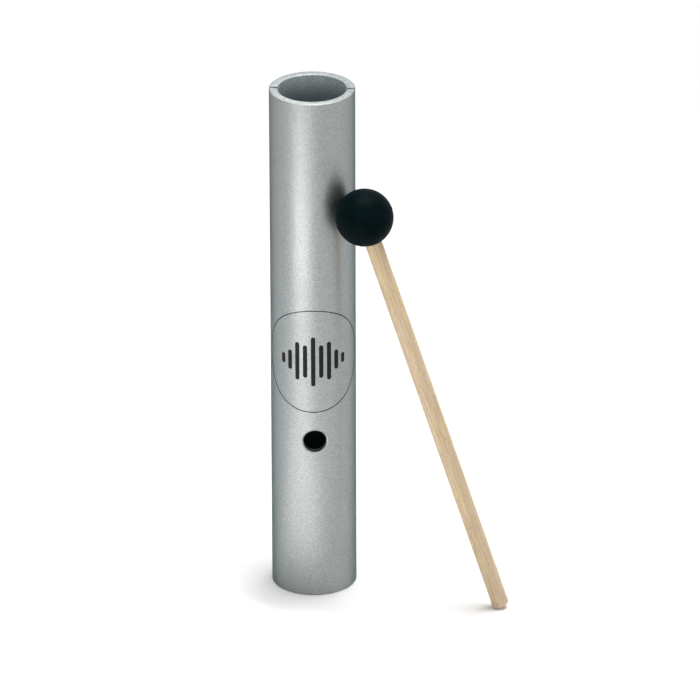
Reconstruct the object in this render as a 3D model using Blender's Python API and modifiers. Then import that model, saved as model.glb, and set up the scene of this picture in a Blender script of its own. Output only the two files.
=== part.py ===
"""Wah-wah tube with its mallet, as it stands at rest.

An aluminium tube stands on its stopped lower end. One saw cut through the whole diameter splits its upper
part into two tines, and a thumb hole opens the air column below them. A ball mallet leans on the tube.
Metres, +Z up. The tube's axis is Z, its foot is at z = 0 and the thumb hole faces -Y.
"""

import math

import bmesh
import bpy
from mathutils import Matrix, Vector

# The tube, cut from drawn aluminium.
TUBE_LENGTH = 0.252
TUBE_RADIUS = 0.020
TUBE_WALL = 0.004
EDGE_BREAK = 0.0005

# The saw cut that makes the tines. The right-hand slot lies a little nearer the front than the left-hand one.
SLOT_LENGTH = 0.143
SLOT_KERF = 0.0015
SLOT_TURN = math.radians(-2.7)

# The thumb hole, drilled square to the wall, with its edge broken.
HOLE_RADIUS = 0.0055
HOLE_HEIGHT = 0.0802
HOLE_TURN = math.radians(1.9)
HOLE_CHAMFER = 0.0006

# The stopper in the foot of the tube.
PLUG_THICKNESS = 0.006
PLUG_EDGE_BREAK = 0.0004

# The mallet: a beech dowel glued into a rubber ball.
MALLET_LENGTH = 0.220
STICK_RADIUS = 0.004
STICK_FOOT_ROUND = 0.002
STICK_TOP_BREAK = 0.0005
STICK_PAST_CENTRE = 0.003
BALL_RADIUS = 0.0135
BALL_MOUTH_ROUND = 0.0005
SEAM_WIDTH = 0.0008
SEAM_HEIGHT = 0.00015

# How the mallet leans. Bearings are turned from +X towards +Y.
BALL_BEARING = math.radians(-44.5)
LEAN = math.radians(18.24)
LEAN_BEARING = math.radians(171.8)
PIVOT_UP_STICK = 0.004

# The clearance between neighbours.
GAP = 0.0003

# How finely round forms are drawn.
TUBE_SIDES = 96
HOLE_SIDES = 48
STICK_SIDES = 40
BALL_SIDES = 48
BALL_ARC_STEPS = 16
ROUND_STEPS = 6
CUT_MARGIN = 0.003
MERGE = 0.00001
SMOOTH_BELOW = math.radians(25)


def clear_scene():
    for old in list(bpy.data.objects):
        bpy.data.objects.remove(old, do_unlink=True)


def new_collection(name):
    collection = bpy.data.collections.new(name)
    bpy.context.scene.collection.children.link(collection)
    return collection


def material(name, colour, roughness, metallic):
    made = bpy.data.materials.new(name)
    made.use_nodes = True
    made.diffuse_color = (*colour, 1.0)
    shader = made.node_tree.nodes["Principled BSDF"]
    shader.inputs["Base Color"].default_value = (*colour, 1.0)
    shader.inputs["Roughness"].default_value = roughness
    shader.inputs["Metallic"].default_value = metallic
    return made


def mesh_object(name, bm, collection, finish=None):
    mesh = bpy.data.meshes.new(name)
    bm.to_mesh(mesh)
    bm.free()
    made = bpy.data.objects.new(name, mesh)
    if finish:
        mesh.materials.append(finish)
    collection.objects.link(made)
    return made


def settle(made):
    """Applies the turning and the cuts, then shades the curves smooth and keeps the worked edges sharp."""
    graph = bpy.context.evaluated_depsgraph_get()
    profile = made.data
    made.data = bpy.data.meshes.new_from_object(made.evaluated_get(graph))
    made.modifiers.clear()
    made.data.name = made.name
    bpy.data.meshes.remove(profile)
    made.data.shade_smooth()
    made.data.set_sharp_from_angle(angle=SMOOTH_BELOW)


def arc(centre_r, centre_z, radius, start_deg, end_deg, steps):
    """Points (r, z) along an arc, from one angle above the horizontal to another."""
    turn = math.radians(end_deg - start_deg) / steps
    start = math.radians(start_deg)
    angles = [start + turn * i for i in range(steps + 1)]
    return [(centre_r + radius * math.cos(a), centre_z + radius * math.sin(a)) for a in angles]


def turned(name, profile, sides, closed, collection, finish):
    """A turned body. The profile (r, z) runs down its outer side first."""
    bm = bmesh.new()
    points = [bm.verts.new((r, 0.0, z)) for r, z in profile]
    for a, b in zip(points, points[1:]):
        bm.edges.new((a, b))
    if closed:
        bm.edges.new((points[-1], points[0]))
    made = mesh_object(name, bm, collection, finish)
    screw = made.modifiers.new("Turned", "SCREW")
    screw.axis = "Z"
    screw.steps = screw.render_steps = sides
    screw.use_merge_vertices = True
    screw.merge_threshold = MERGE
    return made


def make_cutter(made):
    made.hide_render = True
    made.display_type = "WIRE"
    return made


def cut(made, cutter):
    boolean = made.modifiers.new("Cut by " + cutter.name, "BOOLEAN")
    boolean.operation = "DIFFERENCE"
    boolean.solver = "EXACT"
    boolean.object = cutter


def slot_cutter(collection):
    """A saw blade's path: a thin block through the whole diameter, from above the rim down to the slots' roots."""
    bm = bmesh.new()
    bmesh.ops.create_cube(bm, size=1.0)
    width = 2 * (TUBE_RADIUS + CUT_MARGIN)
    height = SLOT_LENGTH + CUT_MARGIN
    bmesh.ops.scale(bm, vec=(width, SLOT_KERF, height), verts=bm.verts)
    made = make_cutter(mesh_object("saw_cut", bm, collection))
    made.location = (0, 0, TUBE_LENGTH - SLOT_LENGTH + height / 2)
    made.rotation_euler = (0, 0, SLOT_TURN)
    return made


def hole_cutter(collection):
    """The drill with its deburring edge. The flare keeps an even width on the round wall, so its rings are saddles."""
    angles = [2 * math.pi * i / HOLE_SIDES for i in range(HOLE_SIDES)]
    inside = TUBE_RADIUS - TUBE_WALL - CUT_MARGIN

    def ring(bm, radius, wall_radius):
        """A loop round the drill, all of it at one distance from the tube's axis."""
        points = [(radius * math.cos(a), radius * math.sin(a)) for a in angles]
        return [bm.verts.new((x, -math.sqrt(wall_radius**2 - x**2), z)) for x, z in points]

    bm = bmesh.new()
    flare = HOLE_CHAMFER + CUT_MARGIN
    rings = [
        ring(bm, HOLE_RADIUS, inside),
        ring(bm, HOLE_RADIUS, TUBE_RADIUS - HOLE_CHAMFER),
        ring(bm, HOLE_RADIUS + flare, TUBE_RADIUS - HOLE_CHAMFER + flare),
    ]
    for near, far in zip(rings, rings[1:]):
        for i in range(HOLE_SIDES):
            j = (i + 1) % HOLE_SIDES
            bm.faces.new((near[i], near[j], far[j], far[i]))
    for loop, depth in ((rings[0], inside), (rings[-1], TUBE_RADIUS - HOLE_CHAMFER + flare)):
        middle = bm.verts.new((0, -depth, 0))
        for i in range(HOLE_SIDES):
            bm.faces.new((loop[i], loop[(i + 1) % HOLE_SIDES], middle))
    bmesh.ops.recalc_face_normals(bm, faces=bm.faces)
    made = make_cutter(mesh_object("thumb_drill", bm, collection))
    made.location = (0, 0, HOLE_HEIGHT)
    made.rotation_euler = (0, 0, HOLE_TURN)
    return made


def build_tube(parts, cutters):
    """The tube with its two tines and its thumb hole, all one piece of metal."""
    inner = TUBE_RADIUS - TUBE_WALL
    profile = [
        (TUBE_RADIUS, TUBE_LENGTH - EDGE_BREAK),
        (TUBE_RADIUS, EDGE_BREAK),
        (TUBE_RADIUS - EDGE_BREAK, 0),
        (inner + EDGE_BREAK, 0),
        (inner, EDGE_BREAK),
        (inner, TUBE_LENGTH - EDGE_BREAK),
        (inner + EDGE_BREAK, TUBE_LENGTH),
        (TUBE_RADIUS - EDGE_BREAK, TUBE_LENGTH),
    ]
    finish = material("satin aluminium", (0.56, 0.60, 0.60), 0.42, 1.0)
    tube = turned("tube", profile, TUBE_SIDES, True, parts, finish)
    cut(tube, slot_cutter(cutters))
    cut(tube, hole_cutter(cutters))
    return tube


def build_plug(parts):
    """A moulded stopper pushed into the foot, flush with the tube's end."""
    radius = TUBE_RADIUS - TUBE_WALL - GAP
    profile = [
        (0, PLUG_THICKNESS),
        (radius - PLUG_EDGE_BREAK, PLUG_THICKNESS),
        (radius, PLUG_THICKNESS - PLUG_EDGE_BREAK),
        (radius, PLUG_EDGE_BREAK),
        (radius - PLUG_EDGE_BREAK, 0),
        (0, 0),
    ]
    finish = material("black plug rubber", (0.025, 0.026, 0.028), 0.7, 0.0)
    return turned("end_plug", profile, TUBE_SIDES, False, parts, finish)


def pivot_to_ball():
    """From the pivot near the stick's foot, along the stick, to the ball's centre."""
    return MALLET_LENGTH - BALL_RADIUS - PIVOT_UP_STICK


def build_stick(parts, pivot):
    """The dowel. Its foot is well rounded and its top end is buried in the ball."""
    foot = -PIVOT_UP_STICK
    top = pivot_to_ball() + STICK_PAST_CENTRE
    core = STICK_RADIUS - STICK_FOOT_ROUND
    profile = [
        (0, top),
        (STICK_RADIUS - STICK_TOP_BREAK, top),
        (STICK_RADIUS, top - STICK_TOP_BREAK),
        *arc(core, foot + STICK_FOOT_ROUND, STICK_FOOT_ROUND, 0, -90, ROUND_STEPS),
        (0, foot),
    ]
    finish = material("beech", (0.62, 0.46, 0.30), 0.6, 0.0)
    stick = turned("mallet_stick", profile, STICK_SIDES, False, parts, finish)
    stick.parent = pivot
    return stick


def build_ball(parts, pivot):
    """The ball, with a blind bore for the stick and the fine moulding seam round its middle."""
    bore = STICK_RADIUS + GAP
    bore_top = STICK_PAST_CENTRE + GAP
    lip = bore + BALL_MOUTH_ROUND
    seam_edge = math.degrees(SEAM_WIDTH / 2 / BALL_RADIUS)
    mouth = -math.degrees(math.acos(lip / BALL_RADIUS))
    upper = arc(0, 0, BALL_RADIUS, 90, seam_edge, BALL_ARC_STEPS)
    lower = arc(0, 0, BALL_RADIUS, -seam_edge, mouth, BALL_ARC_STEPS)
    mouth_z = lower[-1][1]
    profile = [
        (0, BALL_RADIUS),
        *upper[1:],
        (BALL_RADIUS + SEAM_HEIGHT, 0),
        *lower,
        (bore, mouth_z + BALL_MOUTH_ROUND),
        (bore, bore_top),
        (0, bore_top),
    ]
    finish = material("black ball rubber", (0.012, 0.018, 0.019), 0.5, 0.0)
    ball = turned("mallet_head", profile, BALL_SIDES, False, parts, finish)
    ball.location = (0, 0, pivot_to_ball())
    ball.parent = pivot
    return ball


def mallet_pivot(parts):
    """An empty on the swing axis near the stick's foot. Its Z runs up the stick and its Y is the swing axis."""
    towards = Vector((math.cos(LEAN_BEARING), math.sin(LEAN_BEARING), 0))
    up_stick = towards * math.sin(LEAN) + Vector((0, 0, math.cos(LEAN)))
    reach = TUBE_RADIUS + BALL_RADIUS + GAP
    ball = Vector((reach * math.cos(BALL_BEARING), reach * math.sin(BALL_BEARING), 0))
    core = STICK_RADIUS - STICK_FOOT_ROUND
    foot_to_core = PIVOT_UP_STICK - STICK_FOOT_ROUND
    place = ball - up_stick * pivot_to_ball()
    place.z = foot_to_core * math.cos(LEAN) + core * math.sin(LEAN) + STICK_FOOT_ROUND
    swing_axis = Vector((0, 0, 1)).cross(-towards)
    side = swing_axis.cross(up_stick)
    pivot = bpy.data.objects.new("mallet_pivot", None)
    parts.objects.link(pivot)
    turn = Matrix((side, swing_axis, up_stick)).transposed()
    pivot.matrix_world = Matrix.Translation(place) @ turn.to_4x4()
    return pivot


def main():
    clear_scene()
    parts = new_collection("wah_wah_tube")
    cutters = new_collection("cutters")
    tube = build_tube(parts, cutters)
    plug = build_plug(parts)
    pivot = mallet_pivot(parts)
    stick = build_stick(parts, pivot)
    ball = build_ball(parts, pivot)
    for made in (tube, plug, stick, ball):
        settle(made)
    print("mallet pivot", tuple(round(v, 5) for v in pivot.matrix_world.translation))
    print("swing axis", tuple(round(v, 5) for v in pivot.matrix_world.col[1][:3]))


main()
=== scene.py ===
"""Wah-wah tube with its mallet: the looks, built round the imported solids.

Metres, +Z up. The tube's axis is Z, its foot is at z = 0 and the thumb hole faces -Y, towards the camera.
The sections follow the object as it is put together: tube, stopper, print, stick and ball.
"""

import math

import bmesh
import bpy
from mathutils import Euler, Matrix, Vector


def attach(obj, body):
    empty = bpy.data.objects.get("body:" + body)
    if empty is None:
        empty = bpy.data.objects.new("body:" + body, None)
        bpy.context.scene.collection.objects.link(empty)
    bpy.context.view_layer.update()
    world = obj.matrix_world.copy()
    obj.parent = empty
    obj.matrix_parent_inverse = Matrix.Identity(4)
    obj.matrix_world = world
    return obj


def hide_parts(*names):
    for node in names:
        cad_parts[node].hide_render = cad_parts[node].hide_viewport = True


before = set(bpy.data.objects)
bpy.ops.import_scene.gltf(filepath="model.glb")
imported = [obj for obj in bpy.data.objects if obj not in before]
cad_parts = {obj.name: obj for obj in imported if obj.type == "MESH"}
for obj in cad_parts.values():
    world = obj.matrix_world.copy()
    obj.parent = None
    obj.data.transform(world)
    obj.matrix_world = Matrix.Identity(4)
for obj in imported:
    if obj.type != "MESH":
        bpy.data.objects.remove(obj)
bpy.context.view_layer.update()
scene = bpy.context.scene
scene.view_settings.view_transform = "Standard"

# Camera
# A long lens looks down on the tube at about 25 degrees, from 4 m away, as in the photograph.
# The slight roll is the photograph's own: the tube's top leans a little to the left.

CAMERA_DISTANCE = 4.0
CAMERA_ELEVATION = math.radians(24.8)
CAMERA_AIM = Vector((0.01721, 0.0, 0.11844))
CAMERA_ROLL = math.radians(-0.177)
CAMERA_LENS_MM = 438.6

camera = bpy.data.objects.new("camera", bpy.data.cameras.new("camera"))
scene.collection.objects.link(camera)
scene.camera = camera
camera.data.lens = CAMERA_LENS_MM
camera.data.sensor_width = 36.0
camera.data.clip_start, camera.data.clip_end = 0.1, 40.0
towards_camera = Vector((0.0, -math.cos(CAMERA_ELEVATION), math.sin(CAMERA_ELEVATION)))
camera.location = CAMERA_AIM + towards_camera * CAMERA_DISTANCE
camera.rotation_euler = Euler((math.pi / 2 - CAMERA_ELEVATION, 0.0, 0.0))
camera.rotation_euler.rotate_axis("Z", CAMERA_ROLL)


# Tube
# A length of drawn aluminium tube, 40 mm across with a 4 mm wall, glass-bead blasted outside and anodised.
# One saw cut through the whole diameter splits its upper part into two tines. The thumb hole is drilled
# through the front wall and deburred, and both ends are turned square with their edges rounded over.

TUBE_LENGTH = 0.252
TUBE_RADIUS = 0.020
TUBE_WALL = 0.004
TUBE_EDGE_ROUND = 0.0005
TUBE_EDGE_STEPS = 3
TUBE_SIDES = 192
SAW_CUT_LENGTH = 0.143
SAW_CUT_WIDTH = 0.0015
SAW_CUT_TURN = math.radians(-2.7)
THUMB_HOLE_RADIUS = 0.0055
THUMB_HOLE_HEIGHT = 0.0802
THUMB_HOLE_TURN = math.radians(1.9)
THUMB_HOLE_CHAMFER = 0.0006
THUMB_HOLE_SIDES = 96
CUTTER_MARGIN = 0.003
SHARP_ABOVE = math.radians(25)
MM = 0.001
MIX_SHARE, MIX_FIRST, MIX_SECOND, MIX_RESULT = 0, 6, 7, 2


def linear(hex_colour, alpha=1.0):
    """An sRGB hex colour as Blender's linear one."""
    channels = [int(hex_colour[i : i + 2], 16) / 255 for i in (1, 3, 5)]
    curve = [c / 12.92 if c <= 0.04045 else ((c + 0.055) / 1.055) ** 2.4 for c in channels]
    return (*curve, alpha)


def add_node(tree, kind, inputs=(), **settings):
    """Adds a node with its settings. Each input takes a value, or the output that feeds it."""
    made = tree.nodes.new(kind)
    for name, value in settings.items():
        setattr(made, name, value)
    for key, value in dict(inputs).items():
        if isinstance(value, bpy.types.NodeSocket):
            tree.links.new(value, made.inputs[key])
        else:
            made.inputs[key].default_value = value
    return made


def add_geometry_tree(name, sizes):
    """A Geometry Nodes tree with one named input for each size, and a material input."""
    tree = bpy.data.node_groups.new(name, "GeometryNodeTree")
    tree.interface.new_socket("Geometry", in_out="INPUT", socket_type="NodeSocketGeometry")
    tree.interface.new_socket("Geometry", in_out="OUTPUT", socket_type="NodeSocketGeometry")
    for label, value in sizes.items():
        kind = "NodeSocketInt" if isinstance(value, int) else "NodeSocketFloat"
        tree.interface.new_socket(label, in_out="INPUT", socket_type=kind)
    tree.interface.new_socket("Finish", in_out="INPUT", socket_type="NodeSocketMaterial")
    return tree, tree.nodes.new("NodeGroupInput").outputs


def grow(name, tree, sizes, finish):
    """Runs a Geometry Nodes tree on an empty mesh, and keeps the result as a plain mesh."""
    made = bpy.data.objects.new(name, bpy.data.meshes.new(name))
    scene.collection.objects.link(made)
    modifier = made.modifiers.new("Grow", "NODES")
    modifier.node_group = tree
    for item in tree.interface.items_tree:
        if item.in_out == "INPUT" and item.name in sizes:
            modifier[item.identifier] = sizes[item.name]
        elif item.in_out == "INPUT" and item.name == "Finish":
            modifier[item.identifier] = finish
    graph = bpy.context.evaluated_depsgraph_get()
    grown = bpy.data.meshes.new_from_object(made.evaluated_get(graph))
    made.modifiers.clear()
    made.data = grown
    grown.name = name
    grown.shade_smooth()
    grown.set_sharp_from_angle(angle=SHARP_ABOVE)
    return made


def new_material(name):
    """An empty material: its node tree, its shader and the place on the object, in metres."""
    made = bpy.data.materials.new(name)
    made.use_nodes = True
    tree = made.node_tree
    shader = tree.nodes["Principled BSDF"]
    place = tree.nodes.new("ShaderNodeTexCoord").outputs["Object"]
    return made, tree, shader, place


# Aluminium, bead blasted and clear anodised: a cool grey satin with a fine sparkle. Its dark edge tint is
# painted shade, which darkens it towards the silhouette. Real grit is near 0.2 mm, and it is drawn at 0.65 mm
# to show.
BLASTED_GRIT = 0.65 * MM
BLASTED_CLOUD = 9 * MM
blasted, tree, shader, place = new_material("bead_blasted_aluminium")
shader.inputs["Metallic"].default_value = 1.0
# The dark Specular Tint is painted shade on the flanks, towards the silhouette.
shader.inputs["Specular Tint"].default_value = linear("#5c7276")
grit = add_node(tree, "ShaderNodeTexNoise", {"Vector": place, "Scale": 1 / BLASTED_GRIT, "Detail": 2.0})
cloud = add_node(tree, "ShaderNodeTexNoise", {"Vector": place, "Scale": 1 / BLASTED_CLOUD, "Detail": 3.0})
speckle = add_node(tree, "ShaderNodeValToRGB", {"Fac": grit.outputs["Fac"]})
speckle.color_ramp.elements[0].position = 0.30
speckle.color_ramp.elements[0].color = linear("#8e9293")
speckle.color_ramp.elements[1].position = 0.70
speckle.color_ramp.elements[1].color = linear("#a6aaa9")
tree.links.new(speckle.outputs["Color"], shader.inputs["Base Color"])
satin = add_node(
    tree,
    "ShaderNodeMapRange",
    {"Value": cloud.outputs["Fac"], "From Min": 0.3, "From Max": 0.7, "To Min": 0.40, "To Max": 0.46},
)
tree.links.new(satin.outputs["Result"], shader.inputs["Roughness"])
dimples = add_node(
    tree, "ShaderNodeBump", {"Height": grit.outputs["Fac"], "Strength": 0.5, "Distance": 0.03 * MM}
)
tree.links.new(dimples.outputs["Normal"], shader.inputs["Normal"])

# Aluminium as the lathe leaves it, on both ends and on the deburred edge of the hole: paler and brighter
# than the blasted skin, with tool rings round the axis. Real rings are 0.1 mm apart, drawn at 0.5 mm.
TOOL_RING = 0.5 * MM
turned_metal, tree, shader, place = new_material("turned_aluminium")
shader.inputs["Metallic"].default_value = 1.0
rings = add_node(
    tree,
    "ShaderNodeTexWave",
    {"Vector": place, "Scale": 1 / (TOOL_RING * 20), "Distortion": 0.6, "Detail": 1.0, "Detail Scale": 3.0},
    wave_type="RINGS",
    rings_direction="Z",
)
mottle = add_node(tree, "ShaderNodeTexNoise", {"Vector": place, "Scale": 1 / (1.6 * MM), "Detail": 3.0})
tone = add_node(tree, "ShaderNodeValToRGB", {"Fac": mottle.outputs["Fac"]})
tone.color_ramp.elements[0].position = 0.32
tone.color_ramp.elements[0].color = linear("#9aa1a0")
tone.color_ramp.elements[1].position = 0.68
tone.color_ramp.elements[1].color = linear("#b9bfbd")
tree.links.new(tone.outputs["Color"], shader.inputs["Base Color"])
shader.inputs["Roughness"].default_value = 0.42
ridges = add_node(
    tree, "ShaderNodeBump", {"Height": rings.outputs["Fac"], "Strength": 0.25, "Distance": 0.02 * MM}
)
tree.links.new(ridges.outputs["Normal"], shader.inputs["Normal"])

# Aluminium as it was drawn and sawn, in the bore and on the cut faces: duller and darker, with fine
# streaks along the tube. Real die lines are hairlines, drawn 0.5 mm wide. Near the top end it is painted
# paler and speckled: painted light, where the light from above reaches down into the mouth of the bore.
DIE_LINE = 0.5 * MM
LIT_MOUTH_DEPTH = 14 * MM
drawn_metal, tree, shader, place = new_material("drawn_aluminium")
shader.inputs["Metallic"].default_value = 1.0
shader.inputs["Specular Tint"].default_value = linear("#8f9a9f")
stretched = add_node(tree, "ShaderNodeMapping", {"Vector": place, "Scale": (1.0, 1.0, 0.03)})
lines = add_node(
    tree,
    "ShaderNodeTexNoise",
    {"Vector": stretched.outputs["Vector"], "Scale": 1 / DIE_LINE, "Detail": 3.0},
)
tone = add_node(tree, "ShaderNodeValToRGB", {"Fac": lines.outputs["Fac"]})
tone.color_ramp.elements[0].position = 0.3
tone.color_ramp.elements[0].color = linear("#6f7b80")
tone.color_ramp.elements[1].position = 0.7
tone.color_ramp.elements[1].color = linear("#818b8f")
# The pale speckle near the top end is painted light, where light reaches into the mouth of the bore.
grit = add_node(tree, "ShaderNodeTexNoise", {"Vector": place, "Scale": 1 / BLASTED_GRIT, "Detail": 2.0})
speckle = add_node(tree, "ShaderNodeValToRGB", {"Fac": grit.outputs["Fac"]})
speckle.color_ramp.elements[0].position = 0.35
speckle.color_ramp.elements[0].color = linear("#99a3a5")
speckle.color_ramp.elements[1].position = 0.65
speckle.color_ramp.elements[1].color = linear("#c3cbcb")
height = add_node(tree, "ShaderNodeSeparateXYZ", {0: place})
# The share of painted light rises towards the top end, over the last 14 mm.
painted_light_share = add_node(
    tree,
    "ShaderNodeMapRange",
    {"Value": height.outputs["Z"], "From Min": TUBE_LENGTH - LIT_MOUTH_DEPTH, "From Max": TUBE_LENGTH},
    interpolation_type="SMOOTHSTEP",
)
lit_mouth_tone = add_node(
    tree,
    "ShaderNodeMix",
    {
        MIX_SHARE: painted_light_share.outputs["Result"],
        MIX_FIRST: tone.outputs["Color"],
        MIX_SECOND: speckle.outputs["Color"],
    },
    data_type="RGBA",
)
tree.links.new(lit_mouth_tone.outputs[MIX_RESULT], shader.inputs["Base Color"])
rough = add_node(
    tree, "ShaderNodeMapRange", {"Value": lines.outputs["Fac"], "To Min": 0.52, "To Max": 0.66}
)
tree.links.new(rough.outputs["Result"], shader.inputs["Roughness"])
draw_marks = add_node(
    tree, "ShaderNodeBump", {"Height": lines.outputs["Fac"], "Strength": 0.3, "Distance": 0.02 * MM}
)
tree.links.new(draw_marks.outputs["Normal"], shader.inputs["Normal"])

tube_sizes = {
    "Length": TUBE_LENGTH,
    "Radius": TUBE_RADIUS,
    "Wall": TUBE_WALL,
    "Edge Round": TUBE_EDGE_ROUND,
    "Sides": TUBE_SIDES,
    "Cut Length": SAW_CUT_LENGTH,
    "Cut Width": SAW_CUT_WIDTH,
    "Cut Turn": SAW_CUT_TURN,
    "Hole Radius": THUMB_HOLE_RADIUS,
    "Hole Height": THUMB_HOLE_HEIGHT,
    "Hole Turn": THUMB_HOLE_TURN,
    "Hole Chamfer": THUMB_HOLE_CHAMFER,
}
tree, size = add_geometry_tree("sawn_tube", tube_sizes)

# The wall's section, with its corners rounded over, is swept round the axis.
section = add_node(
    tree, "GeometryNodeCurvePrimitiveQuadrilateral", {"Width": size["Wall"], "Height": size["Length"]}
)
rounded = add_node(
    tree,
    "GeometryNodeFilletCurve",
    {"Curve": section.outputs["Curve"], "Radius": size["Edge Round"], "Count": TUBE_EDGE_STEPS},
    mode="POLY",
)
half_wall = add_node(tree, "ShaderNodeMath", {0: size["Wall"], 1: 0.5}, operation="MULTIPLY")
middle = add_node(
    tree, "ShaderNodeMath", {0: size["Radius"], 1: half_wall.outputs[0]}, operation="SUBTRACT"
)
path = add_node(
    tree, "GeometryNodeCurvePrimitiveCircle", {"Resolution": size["Sides"], "Radius": middle.outputs[0]}
)
swept = add_node(
    tree,
    "GeometryNodeCurveToMesh",
    {"Curve": path.outputs["Curve"], "Profile Curve": rounded.outputs["Curve"]},
)
half_length = add_node(tree, "ShaderNodeMath", {0: size["Length"], 1: 0.5}, operation="MULTIPLY")
raise_by = add_node(tree, "ShaderNodeCombineXYZ", {"Z": half_length.outputs[0]})
standing = add_node(
    tree,
    "GeometryNodeTransform",
    {"Geometry": swept.outputs["Mesh"], "Translation": raise_by.outputs[0]},
)

# The saw blade's path, a thin block through both walls.
blade_width = add_node(
    tree, "ShaderNodeMath", {0: size["Radius"], 1: 2.0, 2: 2 * CUTTER_MARGIN}, operation="MULTIPLY_ADD"
)
blade_height = add_node(
    tree, "ShaderNodeMath", {0: size["Cut Length"], 1: CUTTER_MARGIN}, operation="ADD"
)
blade_size = add_node(
    tree,
    "ShaderNodeCombineXYZ",
    {"X": blade_width.outputs[0], "Y": size["Cut Width"], "Z": blade_height.outputs[0]},
)
blade = add_node(tree, "GeometryNodeMeshCube", {"Size": blade_size.outputs[0]})
root = add_node(
    tree, "ShaderNodeMath", {0: size["Length"], 1: size["Cut Length"]}, operation="SUBTRACT"
)
blade_middle = add_node(
    tree,
    "ShaderNodeMath",
    {0: blade_height.outputs[0], 1: 0.5, 2: root.outputs[0]},
    operation="MULTIPLY_ADD",
)
blade_place = add_node(tree, "ShaderNodeCombineXYZ", {"Z": blade_middle.outputs[0]})
blade_turn = add_node(tree, "ShaderNodeCombineXYZ", {"Z": size["Cut Turn"]})
saw_cut = add_node(
    tree,
    "GeometryNodeTransform",
    {
        "Geometry": blade.outputs["Mesh"],
        "Translation": blade_place.outputs[0],
        "Rotation": blade_turn.outputs[0],
    },
)

# The drill, made from a unit cylinder of three rings: the inner two are the drill, and the outermost one
# flares to deburr the edge. Each ring is bent to one distance from the axis, so the chamfer stays even.
unit = add_node(
    tree,
    "GeometryNodeMeshCylinder",
    {"Vertices": THUMB_HOLE_SIDES, "Side Segments": 2, "Radius": 1.0, "Depth": 2.0},
    fill_type="TRIANGLE_FAN",
)
spot = add_node(tree, "GeometryNodeInputPosition")
spot = add_node(tree, "ShaderNodeSeparateXYZ", {0: spot.outputs[0]})
flare_share = add_node(tree, "ShaderNodeMath", {0: spot.outputs["Z"], 1: 0.0}, operation="MAXIMUM")
flare = add_node(
    tree, "ShaderNodeMath", {0: size["Hole Chamfer"], 1: CUTTER_MARGIN}, operation="ADD"
)
drill_radius = add_node(
    tree,
    "ShaderNodeMath",
    {0: flare_share.outputs[0], 1: flare.outputs[0], 2: size["Hole Radius"]},
    operation="MULTIPLY_ADD",
)
chamfer_start = add_node(
    tree, "ShaderNodeMath", {0: size["Radius"], 1: size["Hole Chamfer"]}, operation="SUBTRACT"
)
inside = add_node(
    tree,
    "ShaderNodeMath",
    {0: size["Radius"], 1: size["Wall"]},
    operation="SUBTRACT",
)
inside = add_node(
    tree, "ShaderNodeMath", {0: inside.outputs[0], 1: CUTTER_MARGIN}, operation="SUBTRACT"
)
inner_part = add_node(
    tree,
    "ShaderNodeMapRange",
    {
        "Value": spot.outputs["Z"],
        "From Min": -1.0,
        "From Max": 0.0,
        "To Min": inside.outputs[0],
        "To Max": chamfer_start.outputs[0],
    },
)
drill_depth = add_node(
    tree,
    "ShaderNodeMath",
    {0: flare_share.outputs[0], 1: flare.outputs[0], 2: inner_part.outputs["Result"]},
    operation="MULTIPLY_ADD",
)
across = add_node(
    tree, "ShaderNodeMath", {0: spot.outputs["X"], 1: drill_radius.outputs[0]}, operation="MULTIPLY"
)
up = add_node(
    tree, "ShaderNodeMath", {0: spot.outputs["Y"], 1: drill_radius.outputs[0]}, operation="MULTIPLY"
)
across_squared = add_node(
    tree, "ShaderNodeMath", {0: across.outputs[0], 1: across.outputs[0]}, operation="MULTIPLY"
)
depth_squared = add_node(
    tree, "ShaderNodeMath", {0: drill_depth.outputs[0], 1: drill_depth.outputs[0]}, operation="MULTIPLY"
)
forward_squared = add_node(
    tree,
    "ShaderNodeMath",
    {0: depth_squared.outputs[0], 1: across_squared.outputs[0]},
    operation="SUBTRACT",
)
forward = add_node(tree, "ShaderNodeMath", {0: forward_squared.outputs[0]}, operation="SQRT")
backward = add_node(tree, "ShaderNodeMath", {0: forward.outputs[0], 1: -1.0}, operation="MULTIPLY")
bent = add_node(
    tree,
    "ShaderNodeCombineXYZ",
    {"X": across.outputs[0], "Y": backward.outputs[0], "Z": up.outputs[0]},
)
shaped = add_node(
    tree,
    "GeometryNodeSetPosition",
    {"Geometry": unit.outputs["Mesh"], "Position": bent.outputs[0]},
)
drill_place = add_node(tree, "ShaderNodeCombineXYZ", {"Z": size["Hole Height"]})
drill_turn = add_node(tree, "ShaderNodeCombineXYZ", {"Z": size["Hole Turn"]})
drill = add_node(
    tree,
    "GeometryNodeTransform",
    {
        "Geometry": shaped.outputs["Geometry"],
        "Translation": drill_place.outputs[0],
        "Rotation": drill_turn.outputs[0],
    },
)

cut = add_node(
    tree,
    "GeometryNodeMeshBoolean",
    {"Mesh 1": standing.outputs["Geometry"]},
    operation="DIFFERENCE",
    solver="EXACT",
)
tree.links.new(drill.outputs["Geometry"], cut.inputs["Mesh 2"])
tree.links.new(saw_cut.outputs["Geometry"], cut.inputs["Mesh 2"])
real = add_node(tree, "GeometryNodeRealizeInstances", {"Geometry": cut.outputs["Mesh"]})
finished = add_node(
    tree, "GeometryNodeSetMaterial", {"Geometry": real.outputs["Geometry"], "Material": size["Finish"]}
)
add_node(tree, "NodeGroupOutput", {"Geometry": finished.outputs["Geometry"]})

tube = grow("aluminium_tube", tree, tube_sizes, blasted)
tube.data.materials.clear()
for finish in (blasted, turned_metal, drawn_metal):
    tube.data.materials.append(finish)

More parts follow.
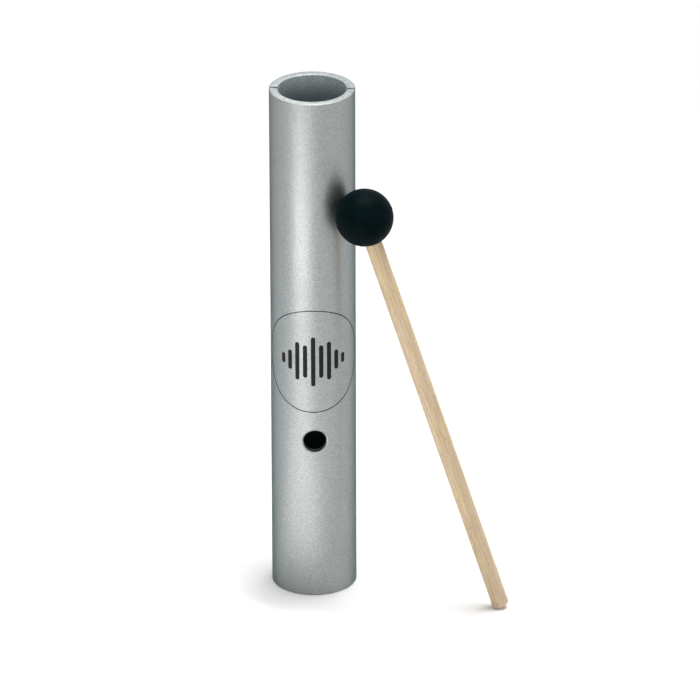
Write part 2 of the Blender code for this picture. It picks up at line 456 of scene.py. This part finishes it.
# The skin and the outer roundings are blasted. The flat rims and the edge of the hole are turned, and the
# bore and the sawn faces are as they were drawn and cut.
SKIN, TURNED, DRAWN = 0, 1, 2
STRAIGHT_OUT = 0.98
PARTLY_OUT = 0.2
ALONG_AXIS = 0.9
STRAIGHT_AHEAD = 0.95
hole_top = THUMB_HOLE_HEIGHT + 2 * THUMB_HOLE_RADIUS
for face in tube.data.polygons:
    reach = face.center.xy.length
    from_end = min(face.center.z, TUBE_LENGTH - face.center.z)
    outwards = face.normal.xy.dot(face.center.xy) / reach
    slanted = face.center.z < hole_top and abs(face.normal.y) < STRAIGHT_AHEAD
    if reach > TUBE_RADIUS - TUBE_EDGE_ROUND and outwards > STRAIGHT_OUT:
        face.material_index = SKIN
    elif from_end < TUBE_EDGE_ROUND and outwards > PARTLY_OUT:
        face.material_index = SKIN
    elif from_end < TUBE_EDGE_ROUND and abs(face.normal.z) > ALONG_AXIS:
        face.material_index = TURNED
    elif reach > TUBE_RADIUS - THUMB_HOLE_CHAMFER and outwards > PARTLY_OUT and slanted:
        face.material_index = TURNED
    else:
        face.material_index = DRAWN
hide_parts("tube")
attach(tube, "instrument")


# Stopper
# A moulded rubber disc pushed into the foot of the tube, level with its end. It shuts the air column.
# Its rims are rounded and a shallow ring is moulded into the face that looks up the bore.

STOPPER_RADIUS = 0.0157
STOPPER_THICKNESS = 0.006
STOPPER_RIM_ROUND = 0.0004
STOPPER_RING_RADIUS = 0.0105
STOPPER_RING_HALF_WIDTH = 0.0008
STOPPER_RING_DEPTH = 0.0005
STOPPER_SIDES = 96


def arc(centre_r, centre_z, radius, start_deg, end_deg, steps):
    """Points (r, z) along an arc, from one angle above the horizontal to another."""
    angles = [math.radians(start_deg + (end_deg - start_deg) * i / steps) for i in range(steps + 1)]
    return [(centre_r + radius * math.cos(a), centre_z + radius * math.sin(a)) for a in angles]


def turned(name, profile, sides, finish, place=Matrix.Identity(4)):
    """A solid turned round its own Z from a profile (r, z) that starts and ends on the axis."""
    bm = bmesh.new()
    angles = [2 * math.pi * i / sides for i in range(sides)]
    loops = []
    for r, z in profile:
        spots = [(r * math.cos(a), r * math.sin(a), z) for a in angles] if r > 0 else [(0, 0, z)]
        loops.append([bm.verts.new(spot) for spot in spots])
    for above, below in zip(loops, loops[1:]):
        for i in range(sides):
            j = (i + 1) % sides
            upper = [above[i % len(above)], above[j % len(above)]]
            lower = [below[j % len(below)], below[i % len(below)]]
            bm.faces.new(list(dict.fromkeys(upper + lower)))
    bmesh.ops.recalc_face_normals(bm, faces=bm.faces)
    mesh = bpy.data.meshes.new(name)
    bm.to_mesh(mesh)
    bm.free()
    mesh.transform(place)
    mesh.materials.append(finish)
    mesh.shade_smooth()
    mesh.set_sharp_from_angle(angle=SHARP_ABOVE)
    made = bpy.data.objects.new(name, mesh)
    scene.collection.objects.link(made)
    return made


# Nitrile rubber as moulded: near black and matt, with a dusty bloom in clouds about 4 mm wide.
stopper_rubber, tree, shader, place = new_material("moulded_nitrile_rubber")
bloom = add_node(tree, "ShaderNodeTexNoise", {"Vector": place, "Scale": 1 / (4 * MM), "Detail": 4.0})
tone = add_node(tree, "ShaderNodeValToRGB", {"Fac": bloom.outputs["Fac"]})
tone.color_ramp.elements[0].position = 0.35
tone.color_ramp.elements[0].color = linear("#1f2021")
tone.color_ramp.elements[1].position = 0.75
tone.color_ramp.elements[1].color = linear("#333536")
tree.links.new(tone.outputs["Color"], shader.inputs["Base Color"])
matt = add_node(tree, "ShaderNodeMapRange", {"Value": bloom.outputs["Fac"], "To Min": 0.62, "To Max": 0.8})
tree.links.new(matt.outputs["Result"], shader.inputs["Roughness"])
skin = add_node(tree, "ShaderNodeTexNoise", {"Vector": place, "Scale": 1 / (0.4 * MM), "Detail": 2.0})
skin = add_node(
    tree, "ShaderNodeBump", {"Height": skin.outputs["Fac"], "Strength": 0.3, "Distance": 0.05 * MM}
)
tree.links.new(skin.outputs["Normal"], shader.inputs["Normal"])

rim = STOPPER_RADIUS - STOPPER_RIM_ROUND
ring_in, ring_out = (STOPPER_RING_RADIUS + s * STOPPER_RING_HALF_WIDTH for s in (-1, 1))
stopper_profile = [
    (0.0, STOPPER_THICKNESS),
    (ring_in, STOPPER_THICKNESS),
    (STOPPER_RING_RADIUS, STOPPER_THICKNESS - STOPPER_RING_DEPTH),
    (ring_out, STOPPER_THICKNESS),
    *arc(rim, STOPPER_THICKNESS - STOPPER_RIM_ROUND, STOPPER_RIM_ROUND, 90, 0, 4),
    *arc(rim, STOPPER_RIM_ROUND, STOPPER_RIM_ROUND, 0, -90, 4),
    (0.0, 0.0),
]
stopper = turned("rubber_stopper", stopper_profile, STOPPER_SIDES, stopper_rubber)
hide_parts("end_plug")
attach(stopper, "instrument")


# Print
# Black ink screened onto the front of the tube above the thumb hole: a hairline circle that runs round
# to the flanks, and in it a row of upright bars that swell and fade as the tube's note does.

PRINT_HEIGHT = 0.1216
CIRCLE_RADIUS = 0.0260
CIRCLE_LINE = 0.00045
CIRCLE_SIDES = 256
BARS = 9
BAR_PITCH = 0.0038
BAR_WIDTH = 0.0021
BAR_SHORTEST = 0.0030
BAR_SWELL = 0.0200
BAR_END_SIDES = 24
INK_LIFT = 0.00005
INK_ROOT = 0.00004

# Screen printing ink, black and nearly matt. It is a little patchy because it lies on blasted metal, in
# patches drawn 0.7 mm wide.
ink, tree, shader, place = new_material("black_screen_ink")
patches = add_node(tree, "ShaderNodeTexNoise", {"Vector": place, "Scale": 1 / (0.7 * MM), "Detail": 2.0})
tone = add_node(tree, "ShaderNodeValToRGB", {"Fac": patches.outputs["Fac"]})
tone.color_ramp.elements[0].position = 0.35
tone.color_ramp.elements[0].color = linear("#070809")
tone.color_ramp.elements[1].position = 0.75
tone.color_ramp.elements[1].color = linear("#121415")
tree.links.new(tone.outputs["Color"], shader.inputs["Base Color"])
shader.inputs["Specular IOR Level"].default_value = 0.2
sheen = add_node(
    tree, "ShaderNodeMapRange", {"Value": patches.outputs["Fac"], "To Min": 0.45, "To Max": 0.65}
)
tree.links.new(sheen.outputs["Result"], shader.inputs["Roughness"])

print_sizes = {
    "Tube Radius": TUBE_RADIUS,
    "Height": PRINT_HEIGHT,
    "Circle Radius": CIRCLE_RADIUS,
    "Line": CIRCLE_LINE,
    "Bars": BARS,
    "Pitch": BAR_PITCH,
    "Bar Width": BAR_WIDTH,
    "Shortest": BAR_SHORTEST,
    "Swell": BAR_SWELL,
    "Lift": INK_LIFT,
    "Root": INK_ROOT,
}
tree, size = add_geometry_tree("tube_print", print_sizes)

# The print is laid out flat first: X runs round the tube, Y up it, and Z is the ink's thickness.
ink_depth = add_node(tree, "ShaderNodeMath", {0: size["Lift"], 1: size["Root"]}, operation="ADD")
line_section = add_node(
    tree,
    "GeometryNodeCurvePrimitiveQuadrilateral",
    {"Width": size["Line"], "Height": ink_depth.outputs[0]},
)
circle = add_node(
    tree,
    "GeometryNodeCurvePrimitiveCircle",
    {"Resolution": CIRCLE_SIDES, "Radius": size["Circle Radius"]},
)
circle = add_node(
    tree,
    "GeometryNodeCurveToMesh",
    {"Curve": circle.outputs["Curve"], "Profile Curve": line_section.outputs["Curve"]},
)

# One bar starts as a dot. Its upper and lower halves are then drawn apart by the bar's own length.
half_width = add_node(tree, "ShaderNodeMath", {0: size["Bar Width"], 1: 0.5}, operation="MULTIPLY")
dot = add_node(
    tree,
    "GeometryNodeMeshCylinder",
    {
        "Vertices": BAR_END_SIDES,
        "Radius": half_width.outputs[0],
        "Depth": ink_depth.outputs[0],
    },
    fill_type="NGON",
)
last = add_node(tree, "ShaderNodeMath", {0: size["Bars"], 1: 1.0}, operation="SUBTRACT")
row_width = add_node(
    tree, "ShaderNodeMath", {0: last.outputs[0], 1: size["Pitch"]}, operation="MULTIPLY"
)
row_start = add_node(tree, "ShaderNodeMath", {0: row_width.outputs[0], 1: -0.5}, operation="MULTIPLY")
start = add_node(tree, "ShaderNodeCombineXYZ", {"X": row_start.outputs[0]})
step = add_node(tree, "ShaderNodeCombineXYZ", {"X": size["Pitch"]})
row = add_node(
    tree,
    "GeometryNodeMeshLine",
    {"Count": size["Bars"], "Start Location": start.outputs[0], "Offset": step.outputs[0]},
    mode="OFFSET",
)
dots = add_node(
    tree, "GeometryNodeInstanceOnPoints", {"Points": row.outputs["Mesh"], "Instance": dot.outputs["Mesh"]}
)
dots = add_node(tree, "GeometryNodeRealizeInstances", {"Geometry": dots.outputs["Instances"]})
spot = add_node(tree, "GeometryNodeInputPosition")
spot = add_node(tree, "ShaderNodeSeparateXYZ", {0: spot.outputs[0]})
column = add_node(tree, "ShaderNodeMath", {0: spot.outputs["X"], 1: size["Pitch"]}, operation="DIVIDE")
column = add_node(tree, "ShaderNodeMath", {0: column.outputs[0]}, operation="ROUND")
span = add_node(tree, "ShaderNodeMath", {0: last.outputs[0], 1: 0.5}, operation="MULTIPLY")
share = add_node(
    tree, "ShaderNodeMath", {0: column.outputs[0], 1: span.outputs[0]}, operation="DIVIDE"
)
# The envelope is a raised cosine, and every other bar is a little shorter than it.
bell = add_node(tree, "ShaderNodeMath", {0: share.outputs[0], 1: math.pi / 2}, operation="MULTIPLY")
bell = add_node(tree, "ShaderNodeMath", {0: bell.outputs[0]}, operation="COSINE")
beat = add_node(tree, "ShaderNodeMath", {0: column.outputs[0], 1: 2.0}, operation="FLOORED_MODULO")
beat = add_node(
    tree, "ShaderNodeMapRange", {"Value": beat.outputs[0], "To Min": 1.0, "To Max": 0.62}
)
bell = add_node(
    tree, "ShaderNodeMath", {0: bell.outputs[0], 1: beat.outputs["Result"]}, operation="MULTIPLY"
)
bar_length = add_node(
    tree,
    "ShaderNodeMath",
    {0: bell.outputs[0], 1: size["Swell"], 2: size["Shortest"]},
    operation="MULTIPLY_ADD",
)
side = add_node(tree, "ShaderNodeMath", {0: spot.outputs["Y"]}, operation="SIGN")
draw = add_node(
    tree, "ShaderNodeMath", {0: bar_length.outputs[0], 1: side.outputs[0]}, operation="MULTIPLY"
)
draw = add_node(tree, "ShaderNodeMath", {0: draw.outputs[0], 1: 0.5}, operation="MULTIPLY")
draw = add_node(tree, "ShaderNodeCombineXYZ", {"Y": draw.outputs[0]})
bars = add_node(
    tree, "GeometryNodeSetPosition", {"Geometry": dots.outputs["Geometry"], "Offset": draw.outputs[0]}
)
flat = add_node(tree, "GeometryNodeJoinGeometry")
tree.links.new(bars.outputs["Geometry"], flat.inputs["Geometry"])
tree.links.new(circle.outputs["Mesh"], flat.inputs["Geometry"])

# Then it is wrapped round the tube, with its underside just below the metal's surface.
spot = add_node(tree, "GeometryNodeInputPosition")
spot = add_node(tree, "ShaderNodeSeparateXYZ", {0: spot.outputs[0]})
angle = add_node(
    tree, "ShaderNodeMath", {0: spot.outputs["X"], 1: size["Tube Radius"]}, operation="DIVIDE"
)
sine = add_node(tree, "ShaderNodeMath", {0: angle.outputs[0]}, operation="SINE")
cosine = add_node(tree, "ShaderNodeMath", {0: angle.outputs[0]}, operation="COSINE")
half_depth = add_node(tree, "ShaderNodeMath", {0: ink_depth.outputs[0], 1: 0.5}, operation="MULTIPLY")
lift = add_node(
    tree, "ShaderNodeMath", {0: size["Lift"], 1: half_depth.outputs[0]}, operation="SUBTRACT"
)
lift = add_node(tree, "ShaderNodeMath", {0: lift.outputs[0], 1: spot.outputs["Z"]}, operation="ADD")
reach = add_node(tree, "ShaderNodeMath", {0: size["Tube Radius"], 1: lift.outputs[0]}, operation="ADD")
x = add_node(tree, "ShaderNodeMath", {0: sine.outputs[0], 1: reach.outputs[0]}, operation="MULTIPLY")
y = add_node(tree, "ShaderNodeMath", {0: cosine.outputs[0], 1: reach.outputs[0]}, operation="MULTIPLY")
y = add_node(tree, "ShaderNodeMath", {0: y.outputs[0], 1: -1.0}, operation="MULTIPLY")
z = add_node(tree, "ShaderNodeMath", {0: spot.outputs["Y"], 1: size["Height"]}, operation="ADD")
wrapped = add_node(
    tree, "ShaderNodeCombineXYZ", {"X": x.outputs[0], "Y": y.outputs[0], "Z": z.outputs[0]}
)
wrapped = add_node(
    tree,
    "GeometryNodeSetPosition",
    {"Geometry": flat.outputs["Geometry"], "Position": wrapped.outputs[0]},
)
real = add_node(tree, "GeometryNodeRealizeInstances", {"Geometry": wrapped.outputs["Geometry"]})
finished = add_node(
    tree, "GeometryNodeSetMaterial", {"Geometry": real.outputs["Geometry"], "Material": size["Finish"]}
)
add_node(tree, "NodeGroupOutput", {"Geometry": finished.outputs["Geometry"]})

tube_print = grow("tube_print", tree, print_sizes, ink)
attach(tube_print, "instrument")


# Mallet stick
# A beech dowel, 8 mm across. Its foot is well rounded, and its top end is glued into the ball.
# It leans on the tube to the right of the thumb hole and stands on the rounded foot.

MALLET_LENGTH = 0.220
STICK_RADIUS = 0.004
STICK_FOOT_ROUND = 0.002
STICK_TOP_BREAK = 0.0005
STICK_SIDES = 64
BALL_RADIUS = 0.0135
BALL_BEARING = math.radians(-44.5)
LEAN = math.radians(18.24)
LEAN_BEARING = math.radians(171.8)
PIVOT_UP_STICK = 0.004
STICK_PAST_CENTRE = 0.003
GAP = 0.0003

lean_towards = Vector((math.cos(LEAN_BEARING), math.sin(LEAN_BEARING), 0))
up_stick = lean_towards * math.sin(LEAN) + Vector((0, 0, math.cos(LEAN)))
pivot_to_ball = MALLET_LENGTH - BALL_RADIUS - PIVOT_UP_STICK
ball_reach = TUBE_RADIUS + BALL_RADIUS + GAP
ball_spot = Vector((ball_reach * math.cos(BALL_BEARING), ball_reach * math.sin(BALL_BEARING), 0))
pivot = ball_spot - up_stick * pivot_to_ball
foot_core = STICK_RADIUS - STICK_FOOT_ROUND
pivot.z = (PIVOT_UP_STICK - STICK_FOOT_ROUND) * math.cos(LEAN) + foot_core * math.sin(LEAN) + STICK_FOOT_ROUND
swing_axis = Vector((0, 0, 1)).cross(-lean_towards)
stick_turn = Matrix((swing_axis.cross(up_stick), swing_axis, up_stick)).transposed()
stick_place = Matrix.Translation(pivot) @ stick_turn.to_4x4()

# Steamed beech, sanded and waxed: pale pinkish tan with fine lengthwise fibres, yellow and pink drifts
# some 20 mm long, and the short dark flecks of its rays. The flecks are 0.3 mm wide, drawn at 0.45 mm.
FIBRE_WIDTH = 0.35 * MM
FIBRE_LENGTH = 14 * MM
DRIFT_WIDTH = 5 * MM
DRIFT_LENGTH = 22 * MM
FLECK_WIDTH = 0.45 * MM
FLECK_LENGTH = 2.6 * MM
beech, tree, shader, place = new_material("waxed_beech")
along_stick = add_node(
    tree,
    "ShaderNodeMapping",
    {"Vector": place, "Location": pivot, "Rotation": stick_turn.to_euler()},
    vector_type="TEXTURE",
)
grain_place = add_node(
    tree,
    "ShaderNodeMapping",
    {
        "Vector": along_stick.outputs["Vector"],
        "Scale": (1 / FIBRE_WIDTH, 1 / FIBRE_WIDTH, 1 / FIBRE_LENGTH),
    },
)
fibres = add_node(
    tree, "ShaderNodeTexNoise", {"Vector": grain_place.outputs["Vector"], "Scale": 1.0, "Detail": 3.0}
)
drift_place = add_node(
    tree,
    "ShaderNodeMapping",
    {
        "Vector": along_stick.outputs["Vector"],
        "Scale": (1 / DRIFT_WIDTH, 1 / DRIFT_WIDTH, 1 / DRIFT_LENGTH),
    },
)
drifts = add_node(
    tree, "ShaderNodeTexNoise", {"Vector": drift_place.outputs["Vector"], "Scale": 1.0, "Detail": 2.0}
)
fleck_place = add_node(
    tree,
    "ShaderNodeMapping",
    {
        "Vector": along_stick.outputs["Vector"],
        "Location": (0.3, 0.7, 0.1),
        "Scale": (1 / FLECK_WIDTH, 1 / FLECK_WIDTH, 1 / FLECK_LENGTH),
    },
)
flecks = add_node(
    tree, "ShaderNodeTexNoise", {"Vector": fleck_place.outputs["Vector"], "Scale": 1.0, "Detail": 1.0}
)
drift_tone = add_node(tree, "ShaderNodeValToRGB", {"Fac": drifts.outputs["Fac"]})
drift_tone.color_ramp.elements[0].position = 0.32
drift_tone.color_ramp.elements[0].color = linear("#dcc6a0")
drift_tone.color_ramp.elements[1].position = 0.68
drift_tone.color_ramp.elements[1].color = linear("#dcc6a9")
fibre_tone = add_node(tree, "ShaderNodeValToRGB", {"Fac": fibres.outputs["Fac"]})
fibre_tone.color_ramp.elements[0].position = 0.28
fibre_tone.color_ramp.elements[0].color = linear("#dcd4c8")
fibre_tone.color_ramp.elements[1].position = 0.62
fibre_tone.color_ramp.elements[1].color = linear("#ffffff")
grained = add_node(
    tree,
    "ShaderNodeMix",
    {
        MIX_SHARE: 1.0,
        MIX_FIRST: drift_tone.outputs["Color"],
        MIX_SECOND: fibre_tone.outputs["Color"],
    },
    data_type="RGBA",
    blend_type="MULTIPLY",
)
fleck_share = add_node(
    tree,
    "ShaderNodeMapRange",
    {"Value": flecks.outputs["Fac"], "From Min": 0.64, "From Max": 0.72, "To Max": 0.55},
)
flecked = add_node(
    tree,
    "ShaderNodeMix",
    {
        MIX_SHARE: fleck_share.outputs["Result"],
        MIX_FIRST: grained.outputs[MIX_RESULT],
        MIX_SECOND: linear("#8f6a48"),
    },
    data_type="RGBA",
)
tree.links.new(flecked.outputs[MIX_RESULT], shader.inputs["Base Color"])
waxed = add_node(
    tree, "ShaderNodeMapRange", {"Value": fibres.outputs["Fac"], "To Min": 0.62, "To Max": 0.48}
)
tree.links.new(waxed.outputs["Result"], shader.inputs["Roughness"])
fibre_relief = add_node(
    tree, "ShaderNodeBump", {"Height": fibres.outputs["Fac"], "Strength": 0.4, "Distance": 0.05 * MM}
)
tree.links.new(fibre_relief.outputs["Normal"], shader.inputs["Normal"])

stick_top = pivot_to_ball + STICK_PAST_CENTRE
stick_foot = -PIVOT_UP_STICK
stick_profile = [
    (0.0, stick_top),
    *arc(STICK_RADIUS - STICK_TOP_BREAK, stick_top - STICK_TOP_BREAK, STICK_TOP_BREAK, 90, 0, 3),
    *arc(foot_core, stick_foot + STICK_FOOT_ROUND, STICK_FOOT_ROUND, 0, -90, 12),
    (0.0, stick_foot),
]
stick = turned("beech_stick", stick_profile, STICK_SIDES, beech, stick_place)
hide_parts("mallet_stick")
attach(stick, "mallet")


# Mallet ball
# A solid rubber ball, 27 mm across, moulded in two halves with a blind bore for the stick.
# The halves leave a fine raised seam round its middle, and the bore's mouth is slightly rounded.

BALL_SIDES = 128
BALL_ARC_STEPS = 40
BALL_MOUTH_ROUND = 0.0005
SEAM_WIDTH = 0.0008
SEAM_HEIGHT = 0.00015

# Hard black rubber from a polished mould, dulled by handling: a blue-green black with a soft sheen.
# The wear is in clouds about 6 mm wide, and the skin's fine pores are drawn at 0.5 mm.
ball_rubber, tree, shader, place = new_material("moulded_black_rubber")
wear = add_node(tree, "ShaderNodeTexNoise", {"Vector": place, "Scale": 1 / (6 * MM), "Detail": 4.0})
tone = add_node(tree, "ShaderNodeValToRGB", {"Fac": wear.outputs["Fac"]})
tone.color_ramp.elements[0].position = 0.35
tone.color_ramp.elements[0].color = linear("#020c0e")
tone.color_ramp.elements[1].position = 0.75
tone.color_ramp.elements[1].color = linear("#061518")
tree.links.new(tone.outputs["Color"], shader.inputs["Base Color"])
shader.inputs["Specular IOR Level"].default_value = 0.02
dulled = add_node(tree, "ShaderNodeMapRange", {"Value": wear.outputs["Fac"], "To Min": 0.42, "To Max": 0.6})
tree.links.new(dulled.outputs["Result"], shader.inputs["Roughness"])
pores = add_node(tree, "ShaderNodeTexNoise", {"Vector": place, "Scale": 1 / (0.5 * MM), "Detail": 2.0})
pores = add_node(
    tree, "ShaderNodeBump", {"Height": pores.outputs["Fac"], "Strength": 0.3, "Distance": 0.03 * MM}
)
tree.links.new(pores.outputs["Normal"], shader.inputs["Normal"])

bore = STICK_RADIUS + GAP
bore_top = STICK_PAST_CENTRE + GAP
mouth_deg = -math.degrees(math.acos((bore + BALL_MOUTH_ROUND) / BALL_RADIUS))
seam_deg = math.degrees(SEAM_WIDTH / 2 / BALL_RADIUS)
lower_half = arc(0, 0, BALL_RADIUS, -seam_deg, mouth_deg, BALL_ARC_STEPS)
mouth_z = lower_half[-1][1]
ball_profile = [
    (0.0, BALL_RADIUS),
    *arc(0, 0, BALL_RADIUS, 90, seam_deg, BALL_ARC_STEPS)[1:],
    (BALL_RADIUS + SEAM_HEIGHT * 0.8, SEAM_WIDTH / 5),
    (BALL_RADIUS + SEAM_HEIGHT * 0.8, -SEAM_WIDTH / 5),
    *lower_half,
    (bore + BALL_MOUTH_ROUND * 0.3, mouth_z + BALL_MOUTH_ROUND * 0.3),
    (bore, mouth_z + BALL_MOUTH_ROUND),
    (bore, bore_top),
    (0.0, bore_top),
]
ball_place = stick_place @ Matrix.Translation((0, 0, pivot_to_ball))
ball = turned("rubber_ball", ball_profile, BALL_SIDES, ball_rubber, ball_place)
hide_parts("mallet_head")
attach(ball, "mallet")


# Floor and light
# A plain white studio floor that runs out of sight, with a large soft lamp high above it to the right.
# Two spots light patches of floor at the front left, which the tube reflects as its bright band.

FLOOR_HALF_SIZE = 9.0
FLOOR_FADE_CENTRE = (-0.05, -0.25, 0.0)
FLOOR_FADE_START = 0.5
FLOOR_FADE_END = 0.9
FLOOR_GLOW = 0.06
WORLD_DIFFUSE = 0.40

bm = bmesh.new()
bmesh.ops.create_grid(bm, x_segments=1, y_segments=1, size=FLOOR_HALF_SIZE)
floor_mesh = bpy.data.meshes.new("floor")
bm.to_mesh(floor_mesh)
bm.free()
floor = bpy.data.objects.new("floor", floor_mesh)
scene.collection.objects.link(floor)

# Matt white paper. Near the object it takes the light and the shadows. Where the camera, metal or glass
# sees it, a little glow is added, and far out it fades to plain white.
paper = bpy.data.materials.new("white_studio_paper")
paper.use_nodes = True
tree = paper.node_tree
tree.nodes.remove(tree.nodes["Principled BSDF"])
seen = add_node(tree, "ShaderNodeLightPath")
seen_directly = add_node(
    tree,
    "ShaderNodeMath",
    {0: seen.outputs["Is Camera Ray"], 1: seen.outputs["Is Glossy Ray"]},
    operation="MAXIMUM",
)
seen_directly = add_node(
    tree,
    "ShaderNodeMath",
    {0: seen_directly.outputs[0], 1: seen.outputs["Is Transmission Ray"]},
    operation="MAXIMUM",
)
place = tree.nodes.new("ShaderNodeTexCoord").outputs["Object"]
from_pool = add_node(
    tree, "ShaderNodeVectorMath", {0: place, 1: FLOOR_FADE_CENTRE}, operation="SUBTRACT"
)
distance = add_node(tree, "ShaderNodeVectorMath", {0: from_pool.outputs[0]}, operation="LENGTH")
far = add_node(
    tree,
    "ShaderNodeMapRange",
    {"Value": distance.outputs["Value"], "From Min": FLOOR_FADE_START, "From Max": FLOOR_FADE_END},
    interpolation_type="SMOOTHSTEP",
)
matt_white = add_node(tree, "ShaderNodeBsdfDiffuse", {"Color": (0.97, 0.97, 0.97, 1.0)})
glow_strength = add_node(
    tree, "ShaderNodeMath", {0: seen_directly.outputs[0], 1: FLOOR_GLOW}, operation="MULTIPLY"
)
glow = add_node(tree, "ShaderNodeEmission", {"Strength": glow_strength.outputs[0]})
near_floor = add_node(tree, "ShaderNodeAddShader", {0: matt_white.outputs[0], 1: glow.outputs[0]})
plain_white = add_node(tree, "ShaderNodeEmission", {"Strength": 1.0})
far_share = add_node(
    tree, "ShaderNodeMath", {0: far.outputs["Result"], 1: seen_directly.outputs[0]}, operation="MULTIPLY"
)
whole_floor = add_node(
    tree,
    "ShaderNodeMixShader",
    {0: far_share.outputs[0], 1: near_floor.outputs[0], 2: plain_white.outputs[0]},
)
tree.links.new(whole_floor.outputs[0], tree.nodes["Material Output"].inputs["Surface"])
floor_mesh.materials.append(paper)

# The world is plain white to the camera and to gloss, and gives a weak even light to everything.
world = bpy.data.worlds.new("studio")
scene.world = world
world.use_nodes = True
tree = world.node_tree
seen = add_node(tree, "ShaderNodeLightPath")
seen_directly = add_node(
    tree,
    "ShaderNodeMath",
    {0: seen.outputs["Is Camera Ray"], 1: seen.outputs["Is Glossy Ray"]},
    operation="MAXIMUM",
)
seen_directly = add_node(
    tree,
    "ShaderNodeMath",
    {0: seen_directly.outputs[0], 1: seen.outputs["Is Transmission Ray"]},
    operation="MAXIMUM",
)
world_strength = add_node(
    tree,
    "ShaderNodeMapRange",
    {"Value": seen_directly.outputs[0], "To Min": WORLD_DIFFUSE, "To Max": 1.0},
)
tree.links.new(world_strength.outputs["Result"], tree.nodes["Background"].inputs["Strength"])
tree.nodes["Background"].inputs["Color"].default_value = (1.0, 1.0, 1.0, 1.0)


# A large soft box hangs above, a little to the right and behind, and gives the soft short shadows. From
# there it leaves a line of shadow in front of the foot.
TOP_BOX_SIZE = 1.2
TOP_BOX_PLACE = Vector((0.30, 0.20, 2.00))
TOP_BOX_WATTS = 38.0
box_lamp = bpy.data.lights.new("top_box", "AREA")
box_lamp.size = TOP_BOX_SIZE
box_lamp.energy = TOP_BOX_WATTS
top_box = bpy.data.objects.new("top_box", box_lamp)
top_box.location = TOP_BOX_PLACE
top_box.rotation_euler = (-TOP_BOX_PLACE).to_track_quat("-Z", "Y").to_euler()
top_box.visible_camera = False
scene.collection.objects.link(top_box)

# The two spots hang above the tube's axis, so their beams miss the tube. One lights the floor near it,
# for the lower half of the band, and one lights the floor further out, for the upper half.
SPOT_HEIGHT = 0.6
SPOT_RADIUS = 0.04
SPOT_COLOUR = "#fff9f2"
SPOT_BEARING = math.radians(-29.0)
FAR_SPOT = {"name": "far_spot", "reach": 0.84, "beam": 52, "softness": 1.0, "watts": 260.0}
NEAR_SPOT = {"name": "near_spot", "reach": 0.14, "beam": 20, "softness": 0.3, "watts": 18.0}
for lamp in (FAR_SPOT, NEAR_SPOT):
    spot_lamp = bpy.data.lights.new(lamp["name"], "SPOT")
    spot_lamp.energy = lamp["watts"]
    spot_lamp.color = linear(SPOT_COLOUR)[:3]
    spot_lamp.spot_size = math.radians(lamp["beam"])
    spot_lamp.spot_blend = lamp["softness"]
    spot_lamp.shadow_soft_size = SPOT_RADIUS
    spot = bpy.data.objects.new(lamp["name"], spot_lamp)
    spot.location = (0.0, 0.0, SPOT_HEIGHT)
    aim = Vector((math.sin(SPOT_BEARING), -math.cos(SPOT_BEARING), 0.0)) * lamp["reach"]
    spot.rotation_euler = (aim - spot.location).to_track_quat("-Z", "Y").to_euler()
    spot.visible_camera = False
    scene.collection.objects.link(spot)
